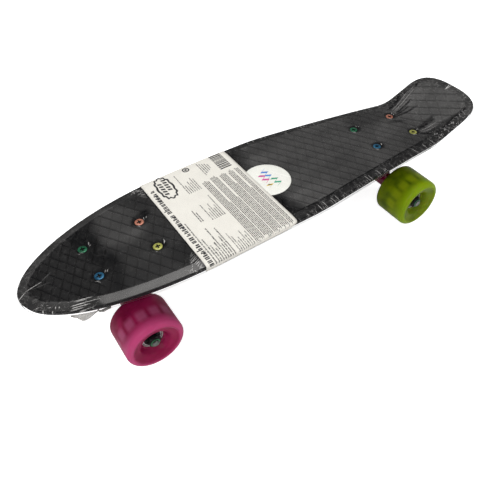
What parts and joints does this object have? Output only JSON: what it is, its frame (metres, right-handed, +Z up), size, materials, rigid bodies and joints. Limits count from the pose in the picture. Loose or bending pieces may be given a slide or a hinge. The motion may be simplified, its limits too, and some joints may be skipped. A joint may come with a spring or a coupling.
{
  "type": "skateboard",
  "caption": "Small arched plastic cruiser skateboard with kicktail, steering trucks and soft wheels, in a paper sleeve and clear shrink film.",
  "frame": {"origin": "on the floor under the middle of the board", "axes": "+X along the board from the nose to the kicktail, +Y to the board's right side, +Z up"},
  "size_m": [0.5804, 0.151, 0.1284],
  "materials": {
    "deck_plastic": "moulded black plastic, satin, diamond-grooved top",
    "sleeve_paper": "thin cream-white coated paper with plain grey print bars",
    "sticker_paper": "round white paper sticker with plain coloured shapes",
    "clear_film": "clear glossy shrink film, wrinkled",
    "bolt_green": "green anodised steel",
    "bolt_blue": "blue anodised steel",
    "bolt_orange": "salmon-orange anodised steel",
    "bolt_yellow": "olive-yellow anodised steel",
    "zinc_steel": "zinc plated steel",
    "truck_paint": "dark magenta powder coat",
    "black_cup": "black moulded rubber",
    "bushing_rubber": "black cast rubber",
    "wheel_pink": "translucent pink cast polyurethane",
    "wheel_green": "translucent yellow-green cast polyurethane",
    "core_plastic": "milky moulded plastic",
    "bearing_steel": "ground steel",
    "magnet_black": "black coated magnet sleeve"
  },
  "bodies": {
    "board": {"deck": "deck_plastic", "sticker": "sticker_paper", "paper_sleeve": "sleeve_paper", "shrink_film": "clear_film", "deck_bolt_front_fore_left": "bolt_blue", "deck_bolt_front_fore_right": "bolt_green", "deck_bolt_front_aft_left": "bolt_yellow", "deck_bolt_front_aft_right": "bolt_orange", "deck_bolt_rear_fore_left": "bolt_blue", "deck_bolt_rear_fore_right": "bolt_green", "deck_bolt_rear_aft_left": "bolt_yellow", "deck_bolt_rear_aft_right": "bolt_orange", "locknut_front_fore_left": "zinc_steel", "locknut_front_fore_right": "zinc_steel", "locknut_front_aft_left": "zinc_steel", "locknut_front_aft_right": "zinc_steel", "locknut_rear_fore_left": "zinc_steel", "locknut_rear_fore_right": "zinc_steel", "locknut_rear_aft_left": "zinc_steel", "locknut_rear_aft_right": "zinc_steel", "baseplate_front": "truck_paint", "pivot_cup_front": "black_cup", "kingpin_front": "zinc_steel", "kingpin_nut_front": "zinc_steel", "bushing_top_front": "bushing_rubber", "bushing_bottom_front": "bushing_rubber", "baseplate_rear": "truck_paint", "pivot_cup_rear": "black_cup", "kingpin_rear": "zinc_steel", "kingpin_nut_rear": "zinc_steel", "bushing_top_rear": "bushing_rubber", "bushing_bottom_rear": "bushing_rubber"},
    "front_hanger": {"hanger_front": "truck_paint", "axle_front": "zinc_steel", "spacer_front_left": "magnet_black", "spacer_front_right": "magnet_black", "axle_nut_front_left": "zinc_steel", "axle_nut_front_right": "zinc_steel"},
    "rear_hanger": {"hanger_rear": "truck_paint", "axle_rear": "zinc_steel", "spacer_rear_left": "magnet_black", "spacer_rear_right": "magnet_black", "axle_nut_rear_left": "zinc_steel", "axle_nut_rear_right": "zinc_steel"},
    "front_left_wheel": {"tyre_front_left": "wheel_pink", "light_core_front_left": "core_plastic", "bearing_front_left_outer": "bearing_steel", "bearing_front_left_inner": "bearing_steel"},
    "front_right_wheel": {"tyre_front_right": "wheel_pink", "light_core_front_right": "core_plastic", "bearing_front_right_outer": "bearing_steel", "bearing_front_right_inner": "bearing_steel"},
    "rear_left_wheel": {"tyre_rear_left": "wheel_green", "light_core_rear_left": "core_plastic", "bearing_rear_left_outer": "bearing_steel", "bearing_rear_left_inner": "bearing_steel"},
    "rear_right_wheel": {"tyre_rear_right": "wheel_green", "light_core_rear_right": "core_plastic", "bearing_rear_right_outer": "bearing_steel", "bearing_rear_right_inner": "bearing_steel"}
  },
  "joints": [
    {"name": "steer_front", "type": "hinge", "parent": "board", "child": "front_hanger", "pos_m": [-0.176, 0, 0.054], "axis": [0.8891, 0, -0.4576], "range_deg": [-12, 12], "stiffness_Nm_per_rad": 14, "deforming": ["bushing_top_front", "bushing_bottom_front"]},
    {"name": "steer_rear", "type": "hinge", "parent": "board", "child": "rear_hanger", "pos_m": [0.16, 0, 0.054], "axis": [-0.8891, 0, -0.4576], "range_deg": [-12, 12], "stiffness_Nm_per_rad": 14, "deforming": ["bushing_top_rear", "bushing_bottom_rear"]},
    {"name": "roll_front_left", "type": "hinge", "parent": "front_hanger", "child": "front_left_wheel", "pos_m": [-0.193, -0.052, 0.0315], "axis": [0, 1, 0], "continuous": true},
    {"name": "roll_front_right", "type": "hinge", "parent": "front_hanger", "child": "front_right_wheel", "pos_m": [-0.193, 0.052, 0.0315], "axis": [0, 1, 0], "continuous": true},
    {"name": "roll_rear_left", "type": "hinge", "parent": "rear_hanger", "child": "rear_left_wheel", "pos_m": [0.177, -0.052, 0.0315], "axis": [0, 1, 0], "continuous": true},
    {"name": "roll_rear_right", "type": "hinge", "parent": "rear_hanger", "child": "rear_right_wheel", "pos_m": [0.177, 0.052, 0.0315], "axis": [0, 1, 0], "continuous": true}
  ]
}
